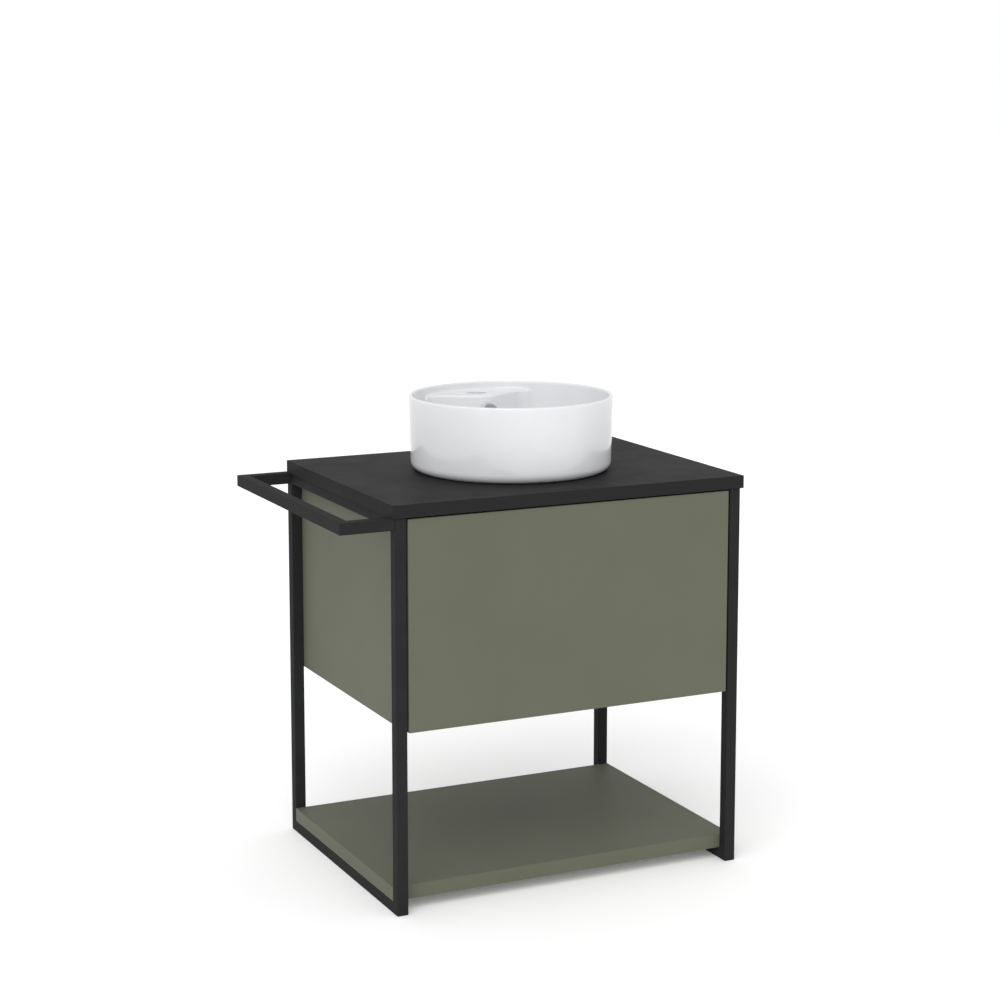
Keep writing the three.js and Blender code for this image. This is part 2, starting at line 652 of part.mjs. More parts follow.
function wasteBody() {
  const socket = WASTE_PIPE_RADIUS + RUNNING_GAP;
  const tube = turned(
    [
      [socket, WASTE_END],
      [socket + 2.5, WASTE_END],
      [socket + 2.5, -8],
      [WASTE_BODY_RADIUS, -3],
      [WASTE_BODY_RADIUS, FLANGE_SEAT],
      [FLANGE_RADIUS, FLANGE_SEAT],
      [FLANGE_RADIUS - 1.5, FLANGE_TOP],
      [WASTE_BORE + 2, FLANGE_TOP],
      [WASTE_BORE, FLANGE_SEAT],
      [WASTE_BORE, -3],
      [socket, -6],
    ],
    "z",
    32,
  );
  const window_height = (DUCT_HIGH - DUCT_LOW) / 2 - 0.5;
  const middle = (DUCT_HIGH + DUCT_LOW) / 2;
  const reach = WASTE_BODY_RADIUS + 2;
  const windows = block([-6, -reach, middle - window_height], [6, reach, middle + window_height]);
  const half = WASTE_BORE + 1;
  const bridge = block([-half, -BRIDGE_HALF - 4, BRIDGE_LOW], [half, BRIDGE_HALF + 4, BRIDGE_HIGH]);
  const guide = rod(STEM_RADIUS + RUNNING_GAP, BRIDGE_LOW - 1, BRIDGE_HIGH + 1, "z", 20);
  return cut(join(cut(tube, windows), bridge), guide);
}

// Six-sided nut from low to high, bored to the given radius.
function hexNut(across, bore, low, high) {
  const corners = arc(0, 0, across / Math.sqrt(3), 0, 300, 5);
  return cut(extruded(corners, low, high), rod(bore, low - 1, high + 1, "z", 24));
}

function basinSet() {
  const set = new THREE.Group();
  set.position.set(BASIN_X, BASIN_Y, WORKTOP_TOP);
  add(set, "basin", toGeometry(basin()), ceramic());
  add(set, "overflow_cap", overflowCap(), chrome());
  add(set, "waste_body", wasteBody(), chrome());
  const clear = WASTE_BODY_RADIUS + RUNNING_GAP;
  add(set, "waste_seal", ring(clear, BOSS_RADIUS - 2, NUT_TOP, SEAL_TOP, "z", 28), rubber());
  add(set, "waste_backnut", hexNut(54, clear, NUT_BOTTOM, NUT_TOP), zinc());
  const inner = WASTE_PIPE_RADIUS - PIPE_WALL;
  add(set, "tailpiece", ring(inner, WASTE_PIPE_RADIUS, TAIL_END, TAIL_TOP, "z", 28), chrome());
  wastePlug(set);
  vanity.add(set);
}

function wastePlug(set) {
  const cap = turned(
    [
      [0, CAP_BOTTOM],
      [CAP_RADIUS - 1.5, CAP_BOTTOM],
      [CAP_RADIUS, CAP_BOTTOM + 1.5],
      [CAP_RADIUS, CAP_TOP - 1.5],
      [CAP_RADIUS - 1.5, CAP_TOP],
      [0, CAP_TOP],
    ],
    "z",
    40,
  );
  add(set, "waste_cap", cap, ceramic());
  const stem = turned(
    [
      [0, -2],
      [STEM_RADIUS, -2],
      [STEM_RADIUS, CAP_BOTTOM - 3],
      [STEM_RADIUS + 8, CAP_BOTTOM - 1],
      [STEM_RADIUS + 8, CAP_BOTTOM],
      [0, CAP_BOTTOM],
    ],
    "z",
    20,
  );
  add(set, "waste_cap_stem", stem, chrome());
  const seal = ring(FLANGE_RADIUS - 6, FLANGE_RADIUS - 2, FLANGE_TOP + 0.2, CAP_BOTTOM, "z", 32);
  add(set, "waste_cap_seal", seal, rubber());
}

// ---------------------------------------------------------------- bottle trap under the basin
const TRAP_RADIUS = 28;
const TRAP_WALL = 2.5;
const TRAP_TOP = 610;
const TRAP_COLLAR_TOP = 624;
const TRAP_BODY_END = 520;
const CUP_END = 490;
const CUP_TOP = 540;
const OUTLET_REACH = 46;
const OUTLET_BORE = WASTE_PIPE_RADIUS + RUNNING_GAP;

function bottleTrap() {
  const trap = new THREE.Group();
  trap.position.set(BASIN_X, BASIN_Y, 0);
  const collar_bore = WASTE_PIPE_RADIUS + 1;
  const collar = collar_bore + 3;
  const inner = TRAP_RADIUS - TRAP_WALL;
  const bottle = turned(
    [
      [inner, TRAP_BODY_END],
      [TRAP_RADIUS, TRAP_BODY_END],
      [TRAP_RADIUS, TRAP_TOP - 4],
      [TRAP_RADIUS - 4, TRAP_TOP],
      [collar, TRAP_TOP],
      [collar, TRAP_COLLAR_TOP],
      [collar_bore, TRAP_COLLAR_TOP],
      [collar_bore, TRAP_TOP - 3],
      [inner, TRAP_TOP - 5],
    ],
    "z",
    32,
  );
  const branch = rod(OUTLET_BORE + 3, inner - 1, OUTLET_REACH, "y", 24);
  branch.translate(0, 0, TRAP_OUTLET_LEVEL);
  const inside = rod(inner, TRAP_BODY_END + 1, TRAP_TOP - 6, "z", 32);
  const passage = rod(OUTLET_BORE, 0, OUTLET_REACH + 1, "y", 24);
  passage.translate(0, 0, TRAP_OUTLET_LEVEL);
  add(trap, "trap_body", cut(join(bottle, cut(branch, inside)), passage), chrome());
  const cup_inner = TRAP_RADIUS + RUNNING_GAP;
  const cup = turned(
    [
      [0, CUP_END],
      [TRAP_RADIUS - 4, CUP_END],
      [TRAP_RADIUS + 3, CUP_END + 8],
      [TRAP_RADIUS + 3, CUP_TOP],
      [cup_inner, CUP_TOP],
      [cup_inner, CUP_END + 9],
      [TRAP_RADIUS - 5, CUP_END + 3],
      [0, CUP_END + 3],
    ],
    "z",
    32,
  );
  add(trap, "trap_cup", cup, chrome());
  const nut_low = TRAP_TOP + 2;
  const nut_lip = TRAP_COLLAR_TOP + RUNNING_GAP;
  const nut_bore = collar + RUNNING_GAP;
  const nut = turned(
    [
      [nut_bore, nut_low],
      [nut_bore + 3.5, nut_low],
      [nut_bore + 3.5, nut_lip + 4],
      [nut_bore, nut_lip + 8],
      [WASTE_PIPE_RADIUS + RUNNING_GAP, nut_lip + 8],
      [WASTE_PIPE_RADIUS + RUNNING_GAP, nut_lip],
      [nut_bore, nut_lip],
    ],
    "z",
    32,
  );
  add(trap, "trap_inlet_nut", nut, chrome());
  const socket = OUTLET_BORE + 3 + RUNNING_GAP;
  const outlet_lip = OUTLET_REACH + RUNNING_GAP;
  const outlet_nut = turned(
    [
      [socket, TRAP_RADIUS + 6],
      [socket + 3.5, TRAP_RADIUS + 6],
      [socket + 3.5, outlet_lip + 3],
      [socket, outlet_lip + 6],
      [OUTLET_BORE, outlet_lip + 6],
      [OUTLET_BORE, outlet_lip],
      [socket, outlet_lip],
    ],
    "y",
    28,
  );
  add(trap, "trap_outlet_nut", outlet_nut.translate(0, 0, TRAP_OUTLET_LEVEL), chrome());
  const wall = FRAME_DEPTH - BASIN_Y;
  const pipe = ring(WASTE_PIPE_RADIUS - PIPE_WALL, WASTE_PIPE_RADIUS, TRAP_RADIUS + 4, wall, "y", 28);
  add(trap, "trap_outlet_pipe", pipe.translate(0, 0, TRAP_OUTLET_LEVEL), chrome());
  const rosette = turned(
    [
      [WASTE_PIPE_RADIUS + RUNNING_GAP, wall - 12],
      [WASTE_PIPE_RADIUS + 3, wall - 12],
      [WASTE_PIPE_RADIUS + 20, wall - 3],
      [WASTE_PIPE_RADIUS + 20, wall],
      [WASTE_PIPE_RADIUS + RUNNING_GAP, wall],
    ],
    "y",
    32,
  );
  add(trap, "wall_rosette", rosette.translate(0, 0, TRAP_OUTLET_LEVEL), chrome());
  vanity.add(trap);
}

// ---------------------------------------------------------------- assembly
sideFrame("left", TUBE / 2, TUBE);
sideFrame("right", FRAME_WIDTH - TUBE / 2, FRAME_WIDTH - TUBE);
towelRail();
cabinet();
frameBolts("left", INNER_LEFT, -1);
frameBolts("right", INNER_RIGHT, 1);
worktop();
shelf();
drawer();
runners();
pushLatch();
basinSet();
bottleTrap();

const middle_x = (FRAME_WIDTH + WORKTOP_SIDE_OVERHANG - TOWEL_REACH) / 2;
const middle_y = (FRAME_DEPTH - WORKTOP_FRONT_OVERHANG) / 2;
vanity.position.set(-middle_x, -middle_y, 0);

export default vanity;
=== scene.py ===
"""Looks of a vessel sink on a black-framed bathroom vanity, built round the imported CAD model.

Metres, +Z up, the drawer's front faces -Y and the towel rail is on the -X side.
"""

import math

import bmesh
import bpy
import numpy as np
from mathutils import Matrix, Vector


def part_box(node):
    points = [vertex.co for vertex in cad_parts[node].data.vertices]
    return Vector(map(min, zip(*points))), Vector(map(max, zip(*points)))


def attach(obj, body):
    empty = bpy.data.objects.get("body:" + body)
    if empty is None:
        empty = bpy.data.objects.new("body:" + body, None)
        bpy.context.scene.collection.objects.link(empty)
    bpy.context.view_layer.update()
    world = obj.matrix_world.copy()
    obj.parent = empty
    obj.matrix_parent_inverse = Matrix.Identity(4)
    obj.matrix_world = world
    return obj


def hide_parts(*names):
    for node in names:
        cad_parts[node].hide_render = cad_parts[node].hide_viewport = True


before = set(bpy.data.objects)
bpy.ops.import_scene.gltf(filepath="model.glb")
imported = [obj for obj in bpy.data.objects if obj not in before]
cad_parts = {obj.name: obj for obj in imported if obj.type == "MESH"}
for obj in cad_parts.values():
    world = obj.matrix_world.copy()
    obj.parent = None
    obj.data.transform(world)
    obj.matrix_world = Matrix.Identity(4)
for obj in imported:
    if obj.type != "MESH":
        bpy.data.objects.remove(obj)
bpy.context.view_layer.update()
MM = 0.001


# ---------------------------------------------------------------- material helpers
NOISE_LOW, NOISE_HIGH = 0.3, 0.7  # nearly all of a noise's values lie between these


class Paint:
    """A procedural material: a Principled shader with its detail laid out in object space, in metres."""

    def __init__(self, name, color, roughness, metallic=0.0, **sockets):
        self.material = bpy.data.materials.new(name)
        self.material.use_nodes = True
        self.tree = self.material.node_tree
        self.shader = self.tree.nodes["Principled BSDF"]
        self.shader.inputs["Base Color"].default_value = (*color, 1.0)
        self.shader.inputs["Roughness"].default_value = roughness
        self.shader.inputs["Metallic"].default_value = metallic
        for socket, value in sockets.items():
            self.shader.inputs[socket.replace("_", " ")].default_value = value
        self.coordinates = self.tree.nodes.new("ShaderNodeTexCoord").outputs["Object"]
        self.normal = None

    def node(self, kind, **values):
        made = self.tree.nodes.new(kind)
        for key, value in values.items():
            if key in made.inputs:
                made.inputs[key].default_value = value
            else:
                setattr(made, key, value)
        return made

    def link(self, source, target):
        self.tree.links.new(source, target)

    def stretched(self, scale):
        mapping = self.node("ShaderNodeMapping")
        mapping.inputs["Scale"].default_value = scale
        self.link(self.coordinates, mapping.inputs["Vector"])
        return mapping.outputs["Vector"]

    def noise(self, size, detail=2.0, stretch=None, distortion=0.0):
        """Cloudy noise whose blotches are about size metres across."""
        made = self.node("ShaderNodeTexNoise", Scale=1.0 / size, Detail=detail, Distortion=distortion)
        self.link(self.stretched(stretch) if stretch else self.coordinates, made.inputs["Vector"])
        return made.outputs["Fac"]

    def spots(self, size):
        """Distance to scattered points that lie about size metres apart."""
        made = self.node("ShaderNodeTexVoronoi", Scale=1.0 / size)
        self.link(self.coordinates, made.inputs["Vector"])
        return made.outputs["Distance"]

    def tint(self, factor, dark, light):
        """Drives the base colour between two colours."""
        ramp = self.node("ShaderNodeValToRGB")
        ramp.color_ramp.elements[0].position = NOISE_LOW
        ramp.color_ramp.elements[1].position = NOISE_HIGH
        ramp.color_ramp.elements[0].color = (*dark, 1.0)
        ramp.color_ramp.elements[1].color = (*light, 1.0)
        self.link(factor, ramp.inputs["Fac"])
        self.link(ramp.outputs["Color"], self.shader.inputs["Base Color"])

    def gloss(self, factor, low, high):
        """Drives the roughness between two values."""
        made = self.node("ShaderNodeMapRange")
        ends = {"From Min": NOISE_LOW, "From Max": NOISE_HIGH, "To Min": low, "To Max": high}
        for key, value in ends.items():
            made.inputs[key].default_value = value
        self.link(factor, made.inputs["Value"])
        self.link(made.outputs["Result"], self.shader.inputs["Roughness"])

    def bump(self, height, depth, strength=1.0):
        """Raises the surface by depth metres where the height is 1. Bumps add up."""
        made = self.node("ShaderNodeBump", Strength=strength, Distance=depth)
        self.link(height, made.inputs["Height"])
        if self.normal:
            self.link(self.normal, made.inputs["Normal"])
        self.normal = made.outputs["Normal"]
        self.link(self.normal, self.shader.inputs["Normal"])
        return self


def shade(color, amount):
    return tuple(min(1.0, channel * amount) for channel in color)


# ---------------------------------------------------------------- materials
def powder_coat():
    color = (0.0222, 0.0224, 0.0228)
    paint = Paint("powder_coat_black", color, 0.6, Specular_IOR_Level=0.03)
    fine = paint.noise(0.9 * MM, detail=3.0)
    broad = paint.noise(60 * MM)
    paint.tint(broad, shade(color, 0.94), shade(color, 1.08))
    paint.gloss(fine, 0.54, 0.68)
    paint.bump(fine, 0.10 * MM, 0.55)
    return paint.bump(paint.noise(14 * MM), 0.10 * MM, 0.5).material


def compact_board():
    color = (0.0208, 0.0208, 0.021)
    paint = Paint("worktop_matt_black", color, 0.54, Specular_IOR_Level=0.03)
    grain = paint.noise(0.7 * MM, detail=4.0)
    smears = paint.noise(110 * MM, detail=3.0, distortion=0.6)
    paint.tint(grain, shade(color, 0.9), shade(color, 1.12))
    paint.gloss(smears, 0.5, 0.58)
    return paint.bump(grain, 0.05 * MM, 0.5).material


def lacquer():
    color = (0.121, 0.126, 0.092)
    paint = Paint("lacquer_grey_green", color, 0.55, Specular_IOR_Level=0.1)
    peel = paint.noise(1.6 * MM, detail=3.0)
    broad = paint.noise(160 * MM)
    paint.tint(broad, shade(color, 0.97), shade(color, 1.03))
    paint.gloss(peel, 0.5, 0.6)
    paint.bump(peel, 0.05 * MM, 0.5)
    return paint.bump(paint.noise(35 * MM), 0.08 * MM, 0.5).material


def melamine():
    color = (0.42, 0.42, 0.40)
    paint = Paint("drawer_melamine_grey", color, 0.5)
    threads = paint.noise(0.8 * MM, stretch=(1.0, 0.08, 1.0))
    cross = paint.noise(0.8 * MM, stretch=(0.08, 1.0, 1.0))
    paint.tint(threads, shade(color, 0.92), shade(color, 1.05))
    paint.gloss(cross, 0.45, 0.6)
    paint.bump(threads, 0.06 * MM, 0.4)
    return paint.bump(cross, 0.06 * MM, 0.4).material


def glaze():
    color = (0.73, 0.735, 0.75)
    paint = Paint("ceramic_white_glaze", color, 0.09)
    pooling = paint.noise(45 * MM)
    specks = paint.spots(9 * MM)
    paint.tint(pooling, shade(color, 0.985), shade(color, 1.01))
    paint.gloss(pooling, 0.07, 0.12)
    paint.bump(specks, 0.02 * MM, 0.12)
    return paint.bump(paint.noise(28 * MM, detail=1.0), 0.25 * MM, 0.25).material


def bare_clay():
    color = (0.66, 0.62, 0.55)
    paint = Paint("ceramic_unglazed_foot", color, 0.85)
    grit = paint.noise(0.8 * MM, detail=5.0)
    paint.tint(grit, shade(color, 0.85), shade(color, 1.08))
    return paint.bump(grit, 0.2 * MM, 0.6).material


def chrome():
    color = (0.62, 0.63, 0.655)
    paint = Paint("chrome_polished", color, 0.05, metallic=1.0)
    wipes = paint.noise(18 * MM, detail=4.0, distortion=1.0)
    paint.tint(wipes, shade(color, 0.96), shade(color, 1.02))
    paint.gloss(wipes, 0.035, 0.11)
    return paint.bump(paint.noise(2.5 * MM), 0.01 * MM, 0.2).material


def zinc_plate():
    color = (0.62, 0.63, 0.64)
    paint = Paint("zinc_plated_steel", color, 0.3, metallic=1.0)
    rolled = paint.noise(1.2 * MM, detail=4.0, stretch=(1.0, 0.06, 1.0))
    paint.tint(paint.noise(40 * MM), shade(color, 0.95), (0.66, 0.655, 0.63))
    paint.gloss(rolled, 0.32, 0.46)
    return paint.bump(rolled, 0.03 * MM, 0.4).material


def raw_brass():
    color = (0.70, 0.52, 0.25)
    paint = Paint("brass_raw", color, 0.3, metallic=1.0)
    cast = paint.noise(1.5 * MM, detail=4.0)
    paint.tint(paint.noise(12 * MM), shade(color, 0.8), shade(color, 1.1))
    paint.gloss(cast, 0.25, 0.45)
    return paint.bump(cast, 0.05 * MM, 0.4).material


def rubber():
    color = (0.02, 0.02, 0.02)
    paint = Paint("rubber_black", color, 0.75)
    grain = paint.noise(0.6 * MM, detail=3.0)
    paint.tint(grain, color, shade(color, 1.8))
    return paint.bump(grain, 0.06 * MM, 0.5).material


def moulded_plastic():
    color = (0.22, 0.225, 0.23)
    paint = Paint("plastic_grey_moulded", color, 0.5)
    spark = paint.noise(0.5 * MM, detail=3.0)
    paint.tint(spark, shade(color, 0.93), shade(color, 1.06))
    return paint.bump(spark, 0.04 * MM, 0.5).material


BLACK_COAT = powder_coat()
WORKTOP = compact_board()
GREEN_LACQUER = lacquer()
MELAMINE = melamine()
GLAZE = glaze()
CLAY = bare_clay()
CHROME = chrome()
ZINC = zinc_plate()
BRASS = raw_brass()
RUBBER = rubber()
PLASTIC = moulded_plastic()


# ---------------------------------------------------------------- mesh helpers
def new_piece(name, vertices, faces, *materials):
    mesh = bpy.data.meshes.new(name)
    mesh.from_pydata([tuple(v) for v in vertices], [], [tuple(f) for f in faces])
    mesh.validate()
    for material in materials:
        mesh.materials.append(material)
    piece = bpy.data.objects.new(name, mesh)
    bpy.context.scene.collection.objects.link(piece)
    return piece


def smooth(piece, degrees=35):
    """Smooth shading, with sharp edges where faces meet at more than that angle."""
    work = bmesh.new()
    work.from_mesh(piece.data)
    bmesh.ops.recalc_face_normals(work, faces=work.faces)
    for face in work.faces:
        face.smooth = True
    for edge in work.edges:
        if len(edge.link_faces) == 2:
            edge.smooth = edge.calc_face_angle(0.0) < math.radians(degrees)
    work.to_mesh(piece.data)
    work.free()
    return piece


def bevel(piece, width, segments=3):
    made = piece.modifiers.new("edge_rounding", "BEVEL")
    made.width = width
    made.segments = segments
    made.limit_method = "ANGLE"
    made.angle_limit = math.radians(30)
    made.harden_normals = True
    made.use_clamp_overlap = True


def fit(piece, body, slot, *nodes):
    """Says what the piece moves with and stands for; slot, which names its finish, is not used."""
    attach(piece, body)
    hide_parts(*nodes)


def weld(piece, name):
    """Joins corners that lie in the same place."""
    made = piece.modifiers.new(name, "WELD")
    made.merge_threshold = 0.01 * MM


def dressed(node, material, width, segments=3):
    """A CAD node kept as it is, with its finish and edges rounded over the given width."""
    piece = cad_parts[node]
    piece.data.materials.clear()
    piece.data.materials.append(material)
    weld(piece, "corners_joined")
    flat = piece.modifiers.new("flat_faces_made_whole", "DECIMATE")
    flat.decimate_type = "DISSOLVE"
    flat.angle_limit = math.radians(0.5)
    bevel(piece, width, segments)
    weld(piece, "rounding_joined")
    even = piece.modifiers.new("flat_faces_shaded_flat", "WEIGHTED_NORMAL")
    even.keep_sharp = True
    even.weight = 100
    for polygon in piece.data.polygons:
        polygon.use_smooth = True


def arc(centre_x, centre_y, radius, start, end, steps):
    """Points round part of a circle, angles in degrees."""
    turns = [math.radians(start + (end - start) * i / steps) for i in range(steps + 1)]
    return [(centre_x + radius * math.cos(t), centre_y + radius * math.sin(t)) for t in turns]


def rounded(points, radius, steps=4, closed=True):
    """The outline with its corners rounded, as far as its sides have room.

    A point may hold a radius of its own after its two coordinates.
    """
    nearly_straight = math.radians(88)
    most_of_side = 0.45
    made = []
    count = len(points)
    for i, point in enumerate(points):
        here = Vector(point[:2])
        size = point[2] if len(point) > 2 else radius
        if not closed and i in (0, count - 1) or size <= 0:
            made.append(tuple(here))
            continue
        before = Vector(points[i - 1][:2]) - here
        after = Vector(points[(i + 1) % count][:2]) - here
        half = before.angle(after) / 2
        if half > nearly_straight:
            made.append(tuple(here))
            continue
        reach = min(size / math.tan(half), before.length * most_of_side, after.length * most_of_side)
        start = here + before.normalized() * reach
        end = here + after.normalized() * reach
        for k in range(steps + 1):
            t = k / steps
            made.append(tuple(start * (1 - t) ** 2 + here * 2 * t * (1 - t) + end * t**2))
    return made


TURNS = {
    "y": Matrix(((1, 0, 0), (0, 0, 1), (0, -1, 0))),
    "z": Matrix.Identity(3),
}
ON_AXIS = 1e-9


def turned(name, profile, centre, material, axis="z", segments=96, flutes=None):
    """A turned piece from a run of (radius, height), which is closed or starts and ends on the axis.

    flutes is (count, depth, low, high): grip grooves cut into what lies between two heights.
    """
    ends_on_axis = profile[0][0] < ON_AXIS and profile[-1][0] < ON_AXIS
    vertices, rows = [], []
    for radius, height in profile:
        if radius < ON_AXIS:
            rows.append([len(vertices)] * segments)
            vertices.append((0, 0, height))
            continue
        rows.append(list(range(len(vertices), len(vertices) + segments)))
        for i in range(segments):
            turn = 2 * math.pi * i / segments
            groove = 0.0
            if flutes and flutes[2] < height < flutes[3]:
                groove = flutes[1] * (0.5 + 0.5 * math.cos(flutes[0] * turn)) ** 3
            reach = radius - groove
            vertices.append((reach * math.cos(turn), reach * math.sin(turn), height))
    pairs = list(zip(rows, rows[1:]))
    if not ends_on_axis:
        pairs.append((rows[-1], rows[0]))
    faces = []
    for low, high in pairs:
        for i in range(segments):
            j = (i + 1) % segments
            ring = [low[i], low[j], high[j], high[i]]
            face = [v for k, v in enumerate(ring) if v != ring[k - 1]]
            if len(face) > 2:
                faces.append(face)
    placed = [TURNS[axis] @ Vector(v) + Vector(centre) for v in vertices]
    return smooth(new_piece(name, placed, faces, material))


def eased(points, radius, steps=4):
    """A run of (radius, height) points with every corner but the first and last rounded."""
    return rounded(points, radius, steps, closed=False)


def slab(name, low, high, material):
    """A plain box between two corners, as a starting shape for cuts and unions."""
    across, deep, tall = zip(low, high)
    corners = [(x, y, z) for z in tall for y in deep for x in across]
    faces = [(0, 1, 3, 2), (4, 6, 7, 5), (0, 4, 5, 1), (2, 3, 7, 6), (0, 2, 6, 4), (1, 5, 7, 3)]
    return new_piece(name, corners, faces, material)


def join_close_corners(mesh):
    """Joins the corners that a cut leaves almost on top of each other."""
    close = 0.002 * MM
    work = bmesh.new()
    work.from_mesh(mesh)
    bmesh.ops.remove_doubles(work, verts=work.verts, dist=close)
    bmesh.ops.dissolve_degenerate(work, edges=work.edges, dist=close)
    work.to_mesh(mesh)
    work.free()


def combine(piece, tool, operation="DIFFERENCE"):
    """Cuts the tool out of the piece, or joins the two, and removes the tool."""
    made = piece.modifiers.new("combine", "BOOLEAN")
    made.operation = operation
    made.solver = "EXACT"
    made.object = tool
    graph = bpy.context.evaluated_depsgraph_get()
    mesh = bpy.data.meshes.new_from_object(piece.evaluated_get(graph))
    join_close_corners(mesh)
    piece.modifiers.clear()
    piece.data = mesh
    bpy.data.objects.remove(tool)


# ---------------------------------------------------------------- steel frame
TUBE_EDGE = 1.4 * MM
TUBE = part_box("left_front_post")[1].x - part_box("left_front_post")[0].x


def loop_tube(name, low, high):
    """Square tubes round a rectangle in the YZ plane, their mitred corners welded and ground smooth."""
    vertices, faces = [], []
    for x in (low.x, high.x):
        for inset in (0.0, TUBE):
            front, back = low.y + inset, high.y - inset
            bottom, top = low.z + inset, high.z - inset
            vertices += [(x, front, bottom), (x, back, bottom), (x, back, top), (x, front, top)]
    left_out, left_in, right_out, right_in = 0, 4, 8, 12
    for i in range(4):
        j = (i + 1) % 4
        faces.append((left_out + i, left_out + j, left_in + j, left_in + i))
        faces.append((right_out + i, right_in + i, right_in + j, right_out + j))
        faces.append((left_out + i, right_out + i, right_out + j, left_out + j))
        faces.append((left_in + i, left_in + j, right_in + j, right_in + i))
    return smooth(new_piece(name, vertices, faces, BLACK_COAT), 30)


def side_frames():
    for side in ("left", "right"):
        low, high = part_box(f"{side}_bottom_rail")[0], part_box(f"{side}_top_rail")[1]
        piece = loop_tube(f"{side}_side_frame", low, high)
        bevel(piece, TUBE_EDGE)
        tubes = [f"{side}_{part}" for part in ("front_post", "back_post", "bottom_rail", "top_rail")]
        fit(piece, "root", "frame_steel", *tubes)


def towel_rail():
    low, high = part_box("towel_bar")
    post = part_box("towel_arm_front")[1].x
    bottom, top = low.z, high.z
    outline = [
        (post, low.y),
        (low.x, low.y),
        (low.x, high.y),
        (post, high.y),
        (post, high.y - TUBE),
        (low.x + TUBE, high.y - TUBE),
        (low.x + TUBE, low.y + TUBE),
        (post, low.y + TUBE),
    ]
    count = len(outline)
    vertices = [(*p, bottom) for p in outline] + [(*p, top) for p in outline]
    faces = [(i, (i + 1) % count, (i + 1) % count + count, i + count) for i in range(count)]
    quads = [(0, 1, 6, 7), (1, 2, 5, 6), (2, 3, 4, 5)]
    faces += quads + [tuple(i + count for i in reversed(q)) for q in quads]
    piece = smooth(new_piece("towel_rail", vertices, faces, BLACK_COAT), 30)
    bevel(piece, TUBE_EDGE)
    fit(piece, "root", "frame_steel", "towel_bar", "towel_arm_front", "towel_arm_back")


# ---------------------------------------------------------------- boards
def boards():
    dressed("worktop", WORKTOP, 0.8 * MM)
    for node in ("cabinet_side_left", "cabinet_side_right", "drawer_front", "shelf"):
        dressed(node, GREEN_LACQUER, 1.2 * MM)
    stretchers = ["worktop_stretcher_front", "worktop_stretcher_back"]
    for node in ["cabinet_bottom", "cabinet_back_rail", *stretchers]:
        dressed(node, GREEN_LACQUER, 0.8 * MM)
    walls = ["drawer_side_left", "drawer_side_right", "drawer_back_left", "drawer_back_right"]
    for node in [*walls, "trap_bay_left", "trap_bay_right", "trap_bay_front", "drawer_bottom"]:
        dressed(node, MELAMINE, 0.7 * MM)


def hardware():
    for side in ("left", "right"):
        for member in ("outer", "middle", "inner"):
            dressed(f"runner_{member}_{side}", ZINC, 0.3 * MM, 2)
        for place in ("front", "back"):
            dressed(f"{side}_frame_bolt_{place}", ZINC, 0.2 * MM, 2)
            dressed(f"worktop_screw_{place}_{side}", ZINC, 0.2 * MM, 2)
    dressed("push_latch_housing", PLASTIC, 0.8 * MM)
    dressed("push_latch_plunger", PLASTIC, 0.3 * MM)


# ---------------------------------------------------------------- basin
BASIN_LOW, BASIN_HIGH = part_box("basin")
BASIN_MIDDLE = (Vector(BASIN_LOW) + Vector(BASIN_HIGH)) / 2
BASIN_CENTRE = Vector((BASIN_MIDDLE.x, BASIN_MIDDLE.y, BASIN_LOW.z))
BASIN_RADIUS = (BASIN_HIGH.x - BASIN_LOW.x) / 2
BASIN_HEIGHT = BASIN_HIGH.z - BASIN_LOW.z
BASIN_TAPER = 3 * MM  # how much smaller the basin's radius is at its foot than at its rim
BASIN_EDGE = 16 * MM  # the rounding between the outer wall and the foot
RIM = 7 * MM
RIM_CENTRE = (BASIN_RADIUS - RIM / 2, BASIN_HEIGHT - RIM / 2)
BOWL_RADIUS = BASIN_RADIUS - RIM
BOWL_FLOOR = 47 * MM
BOWL_FILLET = 8 * MM
DECK_LEVEL = BASIN_HEIGHT - 15 * MM
DECK_ANGLE = math.radians(28.5)  # how far each straight edge of the deck turns back from the nose
DECK_APEX = 90.3 * MM  # from the basin's middle to where the two straight edges would meet
DECK_NOSE = 36 * MM  # radius of the nose that rounds this corner
DECK_FILLET = 42 * MM
DECK_EDGE = 4 * MM
DECK_COVE = 5 * MM  # the hollow rounding between the deck and the rim's wall
DECK_DRAFT = 5 * MM  # how much further forward the deck's front stands at its foot
HOLLOW_WALL = 11 * MM  # ceramic between the deck's surface and the hollow under it
HOLLOW_RADIUS = 166 * MM
HOLLOW_LOW = 16 * MM
TAP_HOLE_Y = 143.5 * MM
TAP_HOLE_RADIUS = 17.5 * MM
OVERFLOW_LEVEL = 86 * MM
OVERFLOW_RADIUS = 12 * MM
DUCT_HALF = 12 * MM
DUCT_WALL = 6 * MM
DUCT_FRONT, DUCT_BACK = 106 * MM, 116 * MM
DUCT_LOW, DUCT_HIGH = 31 * MM, 37 * MM
WASTE_HOLE = 23 * MM
RECESS_RADIUS = 36.5 * MM
FLANGE_SEAT = BOWL_FLOOR - 5 * MM
FOOT_OUTER = BASIN_RADIUS - BASIN_TAPER - BASIN_EDGE
FOOT_INNER = 152 * MM
CEILING = 37 * MM  # underside of the bowl
BOSS_LEVEL = 26 * MM  # underside of the thick part round the waste hole
BOSS_RADIUS = 34 * MM
BOWL_STEPS = 240


